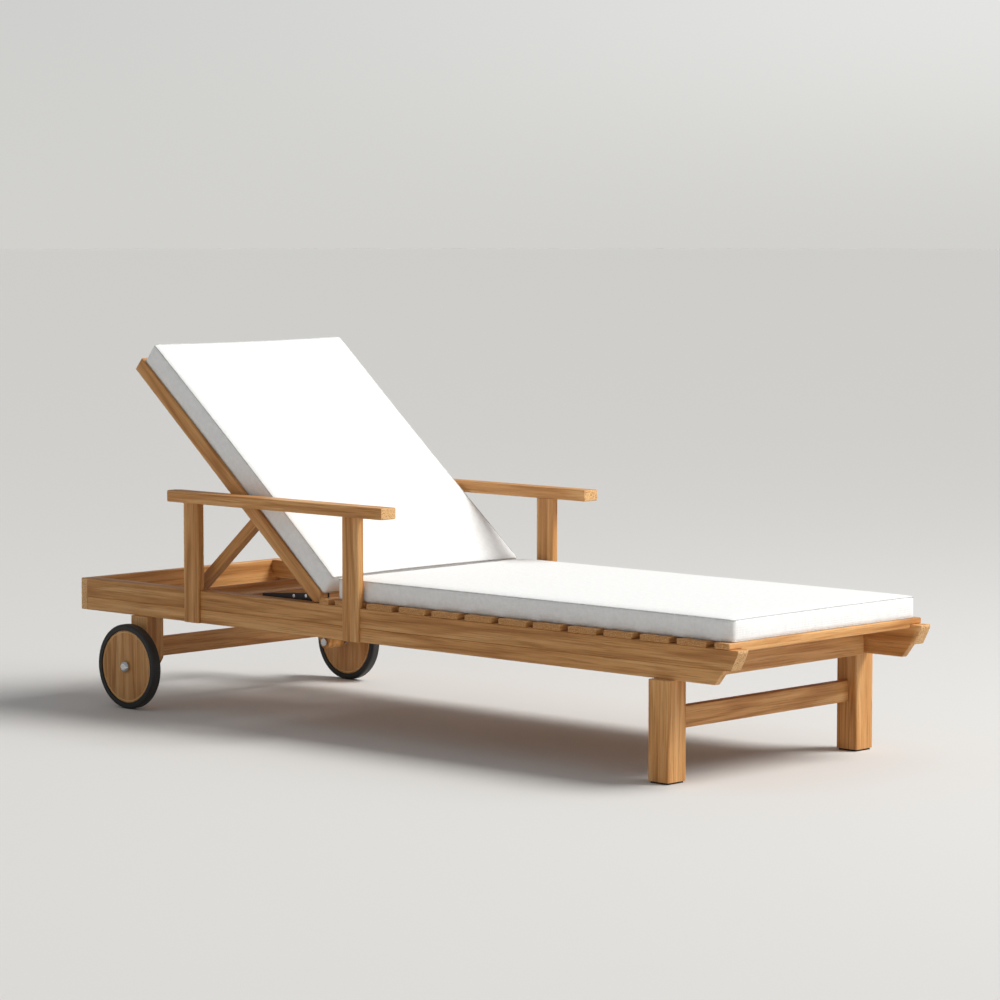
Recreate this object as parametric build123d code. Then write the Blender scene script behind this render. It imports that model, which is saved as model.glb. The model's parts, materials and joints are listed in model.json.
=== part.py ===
"""Reclining sun lounger in teak: frame, wheels, adjustable backrest, prop and two cushions.

Millimetres. +X runs towards the foot end, +Z up, the floor is Z = 0 and the origin is
the middle of the lounger on the floor. "Left" is +Y, "right" is -Y.
"""
import math
import os

from build123d import *

# ---- overall sizes ------------------------------------------------------------------
LENGTH = 2050
WIDTH = 644                 # over the outer faces of the side rails
RAIL_TOP = 291
HALF_WIDTH = WIDTH / 2
HEAD_X = -LENGTH / 2
FOOT_X = LENGTH / 2

EASE = 2                    # softened edges on every board
FACE_GAP = 0.5              # air between a board that moves and the one it passes
HEAD_EASE = 1               # softened rim of every pin and bolt head

# ---- side rails and their aprons ----------------------------------------------------
RAIL_THICKNESS = 38
RAIL_HEIGHT = 43
APRON_THICKNESS = 18
APRON_HEIGHT = 32
RAIL_BOTTOM = RAIL_TOP - RAIL_HEIGHT
APRON_BOTTOM = RAIL_BOTTOM - APRON_HEIGHT
RAIL_INNER_Y = HALF_WIDTH - RAIL_THICKNESS
HORN_SLANT = 19             # how far the rail end leans out between bottom and top
HORN_BLUNT = 6              # upright part of the rail end, at its top
HORN_NOSE_RADIUS = 9
APRON_STEP = 18             # the apron stops this far short of the rail above it
APRON_SLANT = 25

# ---- cross members ------------------------------------------------------------------
CROSS_THICKNESS = 22
HEAD_RAIL_THICKNESS = 22
FOOT_CROSS_SETBACK = 148    # foot slat front to the rear face of the board under it
HINGE_CROSS_HEIGHT = 50
MID_CROSS_HEIGHT = 45
PROP_CROSS_HEIGHT = 50
PROP_CROSS_DROP = 5         # top of the board in front of the racks, below the rail's top

# ---- legs, wheels -------------------------------------------------------------------
LEG_LENGTHWISE = 56
LEG_EASE = 4
FOOT_LEG_SETBACK = 169      # foot end of the rail to the front face of the leg
FOOT_LEG_X = FOOT_X - FOOT_LEG_SETBACK - LEG_LENGTHWISE / 2
FOOT_LEG_CROSSWISE = 58
FOOT_LEG_OUTER_Y = HALF_WIDTH + 20
FOOT_LEG_INNER_Y = FOOT_LEG_OUTER_Y - FOOT_LEG_CROSSWISE
GLIDE_HEIGHT = 4
GLIDE_MARGIN = 4
FOOT_STRETCHER_X = FOOT_LEG_X - 6
FOOT_STRETCHER_BOTTOM = 109
FOOT_STRETCHER_HEIGHT = 46
REAR_LEG_CROSSWISE = 52
REAR_LEG_OUTER_Y = HALF_WIDTH + 8
REAR_LEG_INNER_Y = REAR_LEG_OUTER_Y - REAR_LEG_CROSSWISE
REAR_LEG_END_RADIUS = 16    # round end of the leg, below the axle
REAR_STRETCHER_BOTTOM = 117
REAR_STRETCHER_HEIGHT = 45

WHEEL_RADIUS = 100
WHEEL_X = HEAD_X + 218
TYRE_WIDTH = 24
TYRE_DEPTH = 14
TYRE_EDGE_RADIUS = 5
DISC_THICKNESS = 20
GROOVE_DEPTH = 1.5
GROOVE_WIDTH = 2
GROOVE_MARGIN = 4           # groove to the rim of the disc
WHEEL_INNER_Y = REAR_LEG_OUTER_Y + 18
WHEEL_OUTER_Y = WHEEL_INNER_Y + TYRE_WIDTH
WHEEL_MIDDLE_Y = (WHEEL_INNER_Y + WHEEL_OUTER_Y) / 2
AXLE_RADIUS = 6
AXLE_HEAD_RADIUS = 10
AXLE_HEAD_HEIGHT = 5
BUSH_RADIUS = 10
SPACER_RADIUS = 9
CAP_RADIUS = 13.5
CAP_DOME = 8
CAP_SOCKET = 3
RUNNING_FIT = 0.08          # radial clearance where one piece turns on another

# ---- armrests -----------------------------------------------------------------------
ARM_TOP = 523
ARM_THICKNESS = 26
ARM_WIDTH = 44
ARM_INNER_Y = HALF_WIDTH - 12
ARM_HEAD_END = HEAD_X + 338
ARM_FOOT_END = HEAD_X + 1057
ARM_CORNER_RADIUS = 18
ARM_EASE = 3
POST_WIDTH = 51
POST_THICKNESS = 18
POST_HOUSING = 11           # depth of the notch in the rail that the post sits in
POST_INNER_Y = HALF_WIDTH - POST_HOUSING
POST_EASE = 4
REAR_POST_X = HEAD_X + 376 + POST_WIDTH / 2
FRONT_POST_X = HEAD_X + 905 + POST_WIDTH / 2
BOLT_RADIUS = 3
BOLT_HEAD_RADIUS = 6
BOLT_HEAD_HEIGHT = 3.5
BOLT_BITE = 12              # depth of the bolt in the post
BOLT_SPREAD = 26            # between the two bolts of one post

# ---- seat slats ---------------------------------------------------------------------
SLAT_THICKNESS = 13
SLAT_GAP = 22
SLAT_COUNT = 11
SLAT_TOP = RAIL_TOP + SLAT_THICKNESS
REAR_SLAT_X = HEAD_X + 824
REAR_SLAT_WIDTH = 29
FOOT_SLAT_WIDTH = 40
FOOT_SLAT_THICKNESS = 20
FOOT_SLAT_FRONT = FOOT_X - 24
FOOT_SLAT_EASE = 3
SCREW_HEAD_RADIUS = 4.5
SCREW_HEAD_HEIGHT = 2.5
SCREW_RADIUS = 2.2
SCREW_LENGTH = 28

# ---- backrest -----------------------------------------------------------------------
REST_ANGLE = 40             # backrest above the horizontal in the pose drawn here
STILE_DEPTH = 34
STILE_INSET = 14            # stile's outer face to the rail's outer face
STILE_OUTER_Y = HALF_WIDTH - STILE_INSET
STILE_INNER_Y = RAIL_INNER_Y + 1
STILE_REACH = 782           # hinge to the top end
BACK_RAIL_WIDTH = 60
BACK_TOP_RAIL_THICKNESS = 20
BACK_BOTTOM_RAIL_THICKNESS = 14
BACK_RAIL_START = 40
BACK_SLAT_THICKNESS = 12
BACK_SLAT_COUNT = 6
HINGE_X = HEAD_X + 798
HINGE_Z = RAIL_TOP + FACE_GAP + STILE_DEPTH / 2
PIN_RADIUS = 4
PIN_COVER = 4               # wood left between a pin's end and the stile's outer face
PIN_HEAD_RADIUS = 8
PIN_HEAD_HEIGHT = 3
PLATE_THICKNESS = 4
PLATE_TAIL = 200            # hinge to the narrow end of the plate
PLATE_LOBE_RADIUS = 17
PLATE_SHOULDER = 42         # hinge to where the plate is highest behind the lobe
PLATE_SHOULDER_RISE = 18    # above the rail's top
PLATE_TAIL_RISE = 6
PLATE_TAIL_HEIGHT = 16
PLATE_FOOT = RAIL_BOTTOM + 8
RIVET_RADIUS = 4
RIVET_HEAD_RADIUS = 6
RIVET_HEAD_HEIGHT = 2
RIVET_PLACES = ((56, 10), (96, 7))  # behind the hinge, above the rail's top

# ---- prop ---------------------------------------------------------------------------
PROP_DEPTH = 24
PROP_THICKNESS = 22
PROP_OUTER_Y = RAIL_INNER_Y - 5
PROP_REACH = 270            # hinge to the prop's pivot, along the stile
PROP_DROP = 8               # prop's pivot below the middle line of the stile
PROP_LENGTH = 312           # pivot to the middle of the foot bar
PROP_ANGLE = 40.4           # prop above the horizontal in the pose drawn here
SPIGOT_RADIUS = 8           # ends of the foot bar, inside the struts
RACK_THICKNESS = 20
RACK_HEIGHT = 34
RACK_CLEARANCE = 2          # foot bar to the tops of the teeth, in the pose drawn here
RACK_HEAD_END = WHEEL_X + LEG_LENGTHWISE / 2 + 2
NOTCH_RADIUS = 13
NOTCH_DEPTH = 9
NOTCH_ANGLES = (23, 31, 40, 50, 59)

# ---- cushions -----------------------------------------------------------------------
CUSHION_WIDTH = 608
SEAT_CUSHION_THICKNESS = 47
BACK_CUSHION_THICKNESS = 52
SEAT_CUSHION_HEAD_END = HINGE_X + 65
SEAT_CUSHION_FOOT_END = FOOT_X - 28
BACK_CUSHION_START = -14
BACK_CUSHION_END = 775
CUSHION_EDGE_RADIUS = 10


# ---- helpers ------------------------------------------------------------------------
def block(x_range, y_range, z_range):
    """A plain box between two X, two Y and two Z planes."""
    size = [high - low for low, high in (x_range, y_range, z_range)]
    middle = [(high + low) / 2 for low, high in (x_range, y_range, z_range)]
    return Pos(*middle) * Box(*size)


def board(x_range, y_range, z_range, ease=EASE):
    """A board with all of its edges softened."""
    solid = block(x_range, y_range, z_range)
    return fillet(solid.edges(), ease)


def side_outline(points, y_range, ease=0):
    """A solid whose outline is drawn in the side view (X, Z), between two Y planes."""
    low, high = y_range
    plane = Plane(origin=(0, high, 0), x_dir=(1, 0, 0), z_dir=(0, -1, 0))
    outline = Polyline(*points, close=True)
    solid = extrude(plane * make_face(outline), high - low)
    if ease:
        solid = fillet(solid.edges(), ease)
    return solid


def crosswise_rod(x, z, radius, y_range):
    """A round rod along Y."""
    low, high = y_range
    rod = Rot(90, 0, 0) * Cylinder(radius, high - low)
    return Pos(x, (low + high) / 2, z) * rod


def mirrored(solid):
    """The same piece on the other side of the lounger."""
    return mirror(solid, about=Plane.XZ)


def save(name, solid):
    """Write one piece."""
    solid.label = name
    export_step(solid, f"parts/{name}.step")


def save_pair(name, right_solid):
    """Write a piece of the right side and its twin on the left."""
    save(f"{name}_right", right_solid)
    save(f"{name}_left", mirrored(right_solid))


def leaned(solid, angle=REST_ANGLE):
    """Turn a piece drawn with the backrest flat up to its angle, about the hinge."""
    hinge_line = Axis((HINGE_X, 0, HINGE_Z), (0, 1, 0))
    return solid.rotate(hinge_line, angle)


# ---- where the prop is ---------------------------------------------------------------
def prop_pivot(back_angle):
    """X and Z of the prop's pivot for a backrest angle in degrees."""
    lean = math.radians(back_angle)
    x = HINGE_X - PROP_REACH * math.cos(lean) - PROP_DROP * math.sin(lean)
    z = HINGE_Z + PROP_REACH * math.sin(lean) - PROP_DROP * math.cos(lean)
    return x, z


def foot_bar_x(back_angle):
    """X of the prop's foot bar when it stands at its resting height."""
    x, z = prop_pivot(back_angle)
    drop = z - FOOT_BAR_Z
    return x - math.sqrt(PROP_LENGTH**2 - drop**2)


PIVOT_X, PIVOT_Z = prop_pivot(REST_ANGLE)
FOOT_BAR_X = PIVOT_X - PROP_LENGTH * math.cos(math.radians(PROP_ANGLE))
FOOT_BAR_Z = PIVOT_Z - PROP_LENGTH * math.sin(math.radians(PROP_ANGLE))


# ---- slat and fastener positions ------------------------------------------------------
def seat_slat_starts():
    """X where each seat slat begins, and the width they share."""
    first = REAR_SLAT_X + REAR_SLAT_WIDTH + SLAT_GAP
    last = FOOT_SLAT_FRONT - FOOT_SLAT_WIDTH
    pitch = (last - first) / SLAT_COUNT
    return [first + pitch * index for index in range(SLAT_COUNT)], pitch - SLAT_GAP


SLAT_STARTS, SLAT_WIDTH = seat_slat_starts()
FOOT_CROSS_TOP = SLAT_TOP - FOOT_SLAT_THICKNESS
FOOT_CROSS_X = FOOT_SLAT_FRONT - FOOT_CROSS_SETBACK
HINGE_CROSS_X = REAR_SLAT_X + (REAR_SLAT_WIDTH - CROSS_THICKNESS) / 2
MID_CROSS_X = SLAT_STARTS[SLAT_COUNT // 2] + (SLAT_WIDTH - CROSS_THICKNESS) / 2
PROP_CROSS_X = foot_bar_x(max(NOTCH_ANGLES)) + PROP_DEPTH + EASE


def screw_places():
    """X and Y of the slat screws, one at each end of every slat."""
    middles = [start + SLAT_WIDTH / 2 for start in SLAT_STARTS]
    middles.append(REAR_SLAT_X + REAR_SLAT_WIDTH / 2)
    middles.append(FOOT_SLAT_FRONT - FOOT_SLAT_WIDTH / 2)
    rail_middle = HALF_WIDTH - RAIL_THICKNESS / 2
    return [(x, y) for x in middles for y in (-rail_middle, rail_middle)]


def slat_screw(x, y):
    """A countersunk screw, its head level with the slat."""
    head_middle = SLAT_TOP - SCREW_HEAD_HEIGHT / 2
    head = Pos(x, y, head_middle) * Cone(SCREW_RADIUS, SCREW_HEAD_RADIUS, SCREW_HEAD_HEIGHT)
    shank = Pos(x, y, SLAT_TOP - SCREW_LENGTH / 2) * Cylinder(SCREW_RADIUS, SCREW_LENGTH)
    return head + shank


def bolt_places():
    """X of the bolts that hold the arm posts, two to a post."""
    middles = (REAR_POST_X, FRONT_POST_X)
    return [x + offset for x in middles for offset in (-BOLT_SPREAD / 2, BOLT_SPREAD / 2)]


def bolt_shank(x):
    """Shank of one post bolt on the right side."""
    height = (RAIL_BOTTOM + RAIL_TOP) / 2
    return crosswise_rod(x, height, BOLT_RADIUS, (-POST_INNER_Y - BOLT_BITE, -RAIL_INNER_Y))


def post_housings():
    """The room that the posts of the right side take out of rail, apron and slats."""
    housings = []
    for x in (REAR_POST_X, FRONT_POST_X):
        x_range = (x - POST_WIDTH / 2, x + POST_WIDTH / 2)
        housings.append(block(x_range, (-HALF_WIDTH, -POST_INNER_Y), (APRON_BOTTOM, SLAT_TOP)))
    return housings


# ---- frame --------------------------------------------------------------------------
def side_rail():
    """Thick upper rail, cut back at its slanting foot end and bored for its fasteners."""
    start = HEAD_X + HEAD_RAIL_THICKNESS
    outline = [
        (start, RAIL_BOTTOM),
        (FOOT_X - HORN_SLANT, RAIL_BOTTOM),
        (FOOT_X, RAIL_TOP - HORN_BLUNT),
        (FOOT_X, RAIL_TOP),
        (start, RAIL_TOP),
    ]
    rail = side_outline(outline, (-HALF_WIDTH, -RAIL_INNER_Y))
    end_faces = rail.faces().filter_by(Axis.Z, reverse=True).filter_by(Axis.Y, reverse=True)
    inner_nose = [face.edges().sort_by(Axis.Y)[-1] for face in end_faces.sort_by(Axis.X)[-2:]]
    rail = fillet(inner_nose, HORN_NOSE_RADIUS)
    long_edges = rail.edges().filter_by(Axis.X)
    rail = fillet(long_edges, EASE)
    for x in bolt_places():
        rail -= bolt_shank(x)
    for x, y in screw_places():
        if y < 0:
            rail -= slat_screw(x, y)
    return rail - post_housings()


def side_apron():
    """Thin board glued under the rail, flush with its outer face."""
    start = HEAD_X + HEAD_RAIL_THICKNESS
    top_end = FOOT_X - HORN_SLANT - APRON_STEP
    outline = [
        (start, APRON_BOTTOM),
        (top_end - APRON_SLANT, APRON_BOTTOM),
        (top_end, RAIL_BOTTOM),
        (start, RAIL_BOTTOM),
    ]
    apron = side_outline(outline, (-HALF_WIDTH, APRON_THICKNESS - HALF_WIDTH), EASE)
    return apron - post_housings()


def head_rail():
    """Board across the head end, covering the ends of both sides."""
    return board(
        (HEAD_X, HEAD_X + HEAD_RAIL_THICKNESS),
        (-HALF_WIDTH, HALF_WIDTH),
        (APRON_BOTTOM, RAIL_TOP),
    )


def cross_rail(x_start, height, top=RAIL_TOP):
    """Board between the side rails."""
    return board(
        (x_start, x_start + CROSS_THICKNESS),
        (-RAIL_INNER_Y, RAIL_INNER_Y),
        (top - height, top),
    )


def seat_slat(x_start, width):
    """One slat across both rails, bored for its screws and cut back at the posts."""
    slat = board((x_start, x_start + width), (-HALF_WIDTH, HALF_WIDTH), (RAIL_TOP, SLAT_TOP))
    for housing in post_housings():
        slat -= housing
        slat -= mirrored(housing)
    return bored_for_screws(slat, x_start, x_start + width)


def bored_for_screws(slat, x_start, x_end):
    """Take the screws between two X planes out of a slat."""
    for x, y in screw_places():
        if x_start < x < x_end:
            slat -= slat_screw(x, y)
    return slat


def foot_slat():
    """Last slat: thicker between the rails, rebated where it lies on them."""
    x_range = (FOOT_SLAT_FRONT - FOOT_SLAT_WIDTH, FOOT_SLAT_FRONT)
    over = board(x_range, (-HALF_WIDTH, HALF_WIDTH), (RAIL_TOP, SLAT_TOP), FOOT_SLAT_EASE)
    between = board(
        x_range,
        (-RAIL_INNER_Y, RAIL_INNER_Y),
        (SLAT_TOP - FOOT_SLAT_THICKNESS, SLAT_TOP),
        FOOT_SLAT_EASE,
    )
    return bored_for_screws(over + between, *x_range)


def foot_leg():
    """Square leg, housed behind the apron and up to the rail."""
    x_range = (FOOT_LEG_X - LEG_LENGTHWISE / 2, FOOT_LEG_X + LEG_LENGTHWISE / 2)
    shaft = block(x_range, (-FOOT_LEG_OUTER_Y, -FOOT_LEG_INNER_Y), (GLIDE_HEIGHT, APRON_BOTTOM))
    shaft = fillet(shaft.edges().filter_by(Axis.Z), LEG_EASE)
    return shaft + leg_tongue(x_range, FOOT_LEG_INNER_Y)


def leg_tongue(x_range, leg_inner_y):
    """Upper part of a leg, between the apron and the leg's inner face."""
    y_range = (APRON_THICKNESS - HALF_WIDTH, -leg_inner_y)
    return block(x_range, y_range, (APRON_BOTTOM, RAIL_BOTTOM))


def rear_leg():
    """Short leg that narrows to a round end about the axle."""
    half = LEG_LENGTHWISE / 2
    y_range = (-REAR_LEG_OUTER_Y, -REAR_LEG_INNER_Y)
    outline = [
        (WHEEL_X - half, APRON_BOTTOM),
        (WHEEL_X - half, REAR_STRETCHER_BOTTOM),
        (WHEEL_X - REAR_LEG_END_RADIUS, WHEEL_RADIUS),
        (WHEEL_X + REAR_LEG_END_RADIUS, WHEEL_RADIUS),
        (WHEEL_X + half, REAR_STRETCHER_BOTTOM),
        (WHEEL_X + half, APRON_BOTTOM),
    ]
    leg = side_outline(outline, y_range)
    leg += crosswise_rod(WHEEL_X, WHEEL_RADIUS, REAR_LEG_END_RADIUS, y_range)
    outer_face = leg.faces().filter_by(Axis.Y).sort_by(Axis.Y)[0]
    leg = fillet(outer_face.edges(), EASE)
    leg += leg_tongue((WHEEL_X - half, WHEEL_X + half), REAR_LEG_INNER_Y)
    return leg - crosswise_rod(WHEEL_X, WHEEL_RADIUS, AXLE_RADIUS, y_range)


def leg_glides():
    """Pad under each foot leg."""
    half_x = LEG_LENGTHWISE / 2 - GLIDE_MARGIN
    y_range = (-FOOT_LEG_OUTER_Y + GLIDE_MARGIN, -FOOT_LEG_INNER_Y - GLIDE_MARGIN)
    pad = block((FOOT_LEG_X - half_x, FOOT_LEG_X + half_x), y_range, (0, GLIDE_HEIGHT))
    pad = fillet(pad.edges().filter_by(Axis.Z), EASE)
    return Compound([pad, mirrored(pad)])


def stretcher(x_middle, half_length, bottom, height):
    """Board between the inner faces of a pair of legs."""
    return board(
        (x_middle - CROSS_THICKNESS / 2, x_middle + CROSS_THICKNESS / 2),
        (-half_length, half_length),
        (bottom, bottom + height),
    )


# ---- armrests -----------------------------------------------------------------------
def arm_post(x_middle):
    """Upright let into the outer face of the rail, its outer edges well rounded."""
    post = block(
        (x_middle - POST_WIDTH / 2, x_middle + POST_WIDTH / 2),
        (-POST_INNER_Y - POST_THICKNESS, -POST_INNER_Y),
        (APRON_BOTTOM, ARM_TOP - ARM_THICKNESS),
    )
    outer_edges = post.edges().filter_by(Axis.Z).group_by(Axis.Y)[0]
    post = fillet(outer_edges, POST_EASE)
    for x in bolt_places():
        post -= bolt_shank(x)
    return post


def armrest():
    """Flat arm, rounded in plan at its head end."""
    arm = block(
        (ARM_HEAD_END, ARM_FOOT_END),
        (-ARM_INNER_Y - ARM_WIDTH, -ARM_INNER_Y),
        (ARM_TOP - ARM_THICKNESS, ARM_TOP),
    )
    head_corners = arm.edges().filter_by(Axis.Z).group_by(Axis.X)[0]
    arm = fillet(head_corners, ARM_CORNER_RADIUS)
    rims = arm.faces().sort_by(Axis.Z)[-1].edges() + arm.faces().sort_by(Axis.Z)[0].edges()
    return fillet(rims, ARM_EASE)


def post_bolts():
    """All the bolts that hold the posts, heads on the inner faces of the rails."""
    bolts = []
    height = (RAIL_BOTTOM + RAIL_TOP) / 2
    for x in bolt_places():
        head_range = (-RAIL_INNER_Y, BOLT_HEAD_HEIGHT - RAIL_INNER_Y)
        head = crosswise_rod(x, height, BOLT_HEAD_RADIUS, head_range)
        bolt = bolt_shank(x) + fillet(head.edges().sort_by(Axis.Y)[-1], HEAD_EASE)
        bolts += [bolt, mirrored(bolt)]
    return Compound(bolts)


# ---- wheels -------------------------------------------------------------------------
def wheel_disc():
    """Wooden disc with a shallow groove near its rim on both faces."""
    half = DISC_THICKNESS / 2
    y_range = (-WHEEL_MIDDLE_Y - half, -WHEEL_MIDDLE_Y + half)
    radius = WHEEL_RADIUS - TYRE_DEPTH
    disc = crosswise_rod(WHEEL_X, WHEEL_RADIUS, radius, y_range)
    disc = fillet(disc.edges(), EASE)
    outer_groove = (y_range[0], y_range[0] + GROOVE_DEPTH)
    inner_groove = (y_range[1] - GROOVE_DEPTH, y_range[1])
    for groove_range in (outer_groove, inner_groove):
        groove = crosswise_rod(WHEEL_X, WHEEL_RADIUS, radius - GROOVE_MARGIN, groove_range)
        core_radius = radius - GROOVE_MARGIN - GROOVE_WIDTH
        groove -= crosswise_rod(WHEEL_X, WHEEL_RADIUS, core_radius, groove_range)
        disc -= groove
    return disc - crosswise_rod(WHEEL_X, WHEEL_RADIUS, BUSH_RADIUS, y_range)


def tyre():
    """Solid rubber ring on the disc."""
    y_range = (-WHEEL_OUTER_Y, -WHEEL_INNER_Y)
    ring = crosswise_rod(WHEEL_X, WHEEL_RADIUS, WHEEL_RADIUS, y_range)
    ring = fillet(ring.edges(), TYRE_EDGE_RADIUS)
    return ring - crosswise_rod(WHEEL_X, WHEEL_RADIUS, WHEEL_RADIUS - TYRE_DEPTH, y_range)


def wheel_bush():
    """Sleeve pressed into the disc, turning on the axle."""
    y_range = (-WHEEL_OUTER_Y, -WHEEL_INNER_Y)
    sleeve = crosswise_rod(WHEEL_X, WHEEL_RADIUS, BUSH_RADIUS, y_range)
    return sleeve - crosswise_rod(WHEEL_X, WHEEL_RADIUS, AXLE_RADIUS + RUNNING_FIT, y_range)


def stub_axle():
    """Short axle through the rear leg and the wheel, with a domed head inside the leg."""
    outer = -WHEEL_OUTER_Y - FACE_GAP - CAP_SOCKET
    shank = crosswise_rod(WHEEL_X, WHEEL_RADIUS, AXLE_RADIUS, (outer, -REAR_LEG_INNER_Y))
    head_range = (-REAR_LEG_INNER_Y, AXLE_HEAD_HEIGHT - REAR_LEG_INNER_Y)
    head = crosswise_rod(WHEEL_X, WHEEL_RADIUS, AXLE_HEAD_RADIUS, head_range)
    return shank + fillet(head.edges().sort_by(Axis.Y)[-1], HEAD_EASE)


def axle_spacer():
    """Sleeve on the axle that keeps the wheel off the leg."""
    y_range = (-WHEEL_INNER_Y + FACE_GAP, -REAR_LEG_OUTER_Y)
    sleeve = crosswise_rod(WHEEL_X, WHEEL_RADIUS, SPACER_RADIUS, y_range)
    return sleeve - crosswise_rod(WHEEL_X, WHEEL_RADIUS, AXLE_RADIUS, y_range)


def hub_cap():
    """Domed cap pressed on the end of the axle."""
    inner = -WHEEL_OUTER_Y - FACE_GAP
    rim = crosswise_rod(WHEEL_X, WHEEL_RADIUS, CAP_RADIUS, (inner - CAP_DOME, inner))
    cap = fillet(rim.edges().sort_by(Axis.Y)[0], CAP_DOME - 1)
    socket_range = (inner - CAP_SOCKET, inner)
    return cap - crosswise_rod(WHEEL_X, WHEEL_RADIUS, AXLE_RADIUS, socket_range)


# ---- hinge --------------------------------------------------------------------------
def hinge_plate():
    """Steel plate on the inner face of the rail, with a long narrowing tail."""
    y_range = (-RAIL_INNER_Y, PLATE_THICKNESS - RAIL_INNER_Y)
    lobe = crosswise_rod(HINGE_X, HINGE_Z, PLATE_LOBE_RADIUS, y_range)
    tail_top = RAIL_TOP + PLATE_TAIL_RISE
    outline = [
        (HINGE_X + PLATE_LOBE_RADIUS, HINGE_Z),
        (HINGE_X - PLATE_LOBE_RADIUS, HINGE_Z),
        (HINGE_X - PLATE_SHOULDER, RAIL_TOP + PLATE_SHOULDER_RISE),
        (HINGE_X - PLATE_TAIL, tail_top),
        (HINGE_X - PLATE_TAIL, tail_top - PLATE_TAIL_HEIGHT),
        (HINGE_X - PLATE_SHOULDER, PLATE_FOOT),
        (HINGE_X + PLATE_LOBE_RADIUS, PLATE_FOOT),
    ]
    plate = side_outline(outline, y_range) + lobe
    for along, above in RIVET_PLACES:
        plate -= crosswise_rod(HINGE_X - along, RAIL_TOP + above, RIVET_RADIUS, y_range)
    return plate - crosswise_rod(HINGE_X, HINGE_Z, PIN_RADIUS, y_range)


def plate_rivets():
    """Rivets of both hinge plates, level outside and domed inside."""
    outer, inner = -RAIL_INNER_Y, PLATE_THICKNESS - RAIL_INNER_Y
    rivets = []
    for along, above in RIVET_PLACES:
        x, z = HINGE_X - along, RAIL_TOP + above
        head = crosswise_rod(x, z, RIVET_HEAD_RADIUS, (inner, inner + RIVET_HEAD_HEIGHT))
        head = fillet(head.edges().sort_by(Axis.Y)[-1], HEAD_EASE)
        rivet = head + crosswise_rod(x, z, RIVET_RADIUS, (outer, inner))
        rivets += [rivet, mirrored(rivet)]
    return Compound(rivets)


def hinge_pin():
    """Pin fixed in the hinge plate, on which the stile turns."""
    inner = PLATE_THICKNESS - RAIL_INNER_Y
    shank = crosswise_rod(HINGE_X, HINGE_Z, PIN_RADIUS, (PIN_COVER - STILE_OUTER_Y, inner))
    head = crosswise_rod(HINGE_X, HINGE_Z, PIN_HEAD_RADIUS, (inner, inner + PIN_HEAD_HEIGHT))
    return shank + fillet(head.edges().sort_by(Axis.Y)[-1], HEAD_EASE)


# ---- backrest, drawn flat and then leaned ---------------------------------------------
def flat_point(along, above):
    """X and Z of a point given along the flat backrest and above its middle line."""
    return HINGE_X - along, HINGE_Z + above


def back_board(along_range, y_range, above_range):
    """A board of the backrest, drawn flat."""
    x_high, z_low = flat_point(along_range[0], above_range[0])
    x_low, z_high = flat_point(along_range[1], above_range[1])
    return board((x_low, x_high), y_range, (z_low, z_high))


def stile():
    """Long side piece, round at the hinge, bored for the hinge pin and the prop pin."""
    half = STILE_DEPTH / 2
    y_range = (-STILE_OUTER_Y, -STILE_INNER_Y)
    end_x = HINGE_X - STILE_REACH
    shaft = block((end_x, HINGE_X), y_range, (HINGE_Z - half, HINGE_Z + half))
    foot = crosswise_rod(HINGE_X, HINGE_Z, half, y_range)
    piece = shaft + foot
    outer_face = piece.faces().filter_by(Axis.Y).sort_by(Axis.Y)[0]
    piece = fillet(outer_face.edges(), EASE)
    blind_end = PIN_COVER - STILE_OUTER_Y
    hinge_bore = (blind_end - FACE_GAP, -STILE_INNER_Y)
    piece -= crosswise_rod(HINGE_X, HINGE_Z, PIN_RADIUS + RUNNING_FIT, hinge_bore)
    pivot_x, pivot_z = flat_point(PROP_REACH, -PROP_DROP)
    piece -= crosswise_rod(pivot_x, pivot_z, PIN_RADIUS, (blind_end, -STILE_INNER_Y))
    return leaned(piece)


def back_rail(along_start, thickness):
    """Board between the stiles, level with their front faces."""
    top = STILE_DEPTH / 2
    rail = back_board(
        (along_start, along_start + BACK_RAIL_WIDTH),
        (-STILE_INNER_Y, STILE_INNER_Y),
        (top - thickness, top),
    )
    return leaned(rail)


def back_slats():
    """Slats between the bottom and top rails of the backrest."""
    top = STILE_DEPTH / 2
    first = BACK_RAIL_START + BACK_RAIL_WIDTH + SLAT_GAP
    pitch = (STILE_REACH - BACK_RAIL_WIDTH - first) / BACK_SLAT_COUNT
    slats = []
    for index in range(BACK_SLAT_COUNT):
        start = first + pitch * index
        slat = back_board(
            (start, start + pitch - SLAT_GAP),
            (-STILE_INNER_Y, STILE_INNER_Y),
            (top - BACK_SLAT_THICKNESS, top),
        )
        slats.append(leaned(slat))
    return Compound(slats)


# ---- prop ---------------------------------------------------------------------------
def prop_strut():
    """Strut from the stile down to the foot bar, rounded at both ends."""
    y_range = (-PROP_OUTER_Y, PROP_THICKNESS - PROP_OUTER_Y)
    radius = PROP_DEPTH / 2
    shaft = block(
        (PIVOT_X - PROP_LENGTH, PIVOT_X),
        y_range,
        (PIVOT_Z - radius, PIVOT_Z + radius),
    )
    upper_end = crosswise_rod(PIVOT_X, PIVOT_Z, radius, y_range)
    lower_end = crosswise_rod(PIVOT_X - PROP_LENGTH, PIVOT_Z, radius, y_range)
    strut = shaft + upper_end + lower_end
    strut -= crosswise_rod(PIVOT_X, PIVOT_Z, PIN_RADIUS + RUNNING_FIT, y_range)
    strut -= crosswise_rod(PIVOT_X - PROP_LENGTH, PIVOT_Z, SPIGOT_RADIUS, y_range)
    pivot_line = Axis((PIVOT_X, 0, PIVOT_Z), (0, 1, 0))
    return strut.rotate(pivot_line, -PROP_ANGLE)


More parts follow.
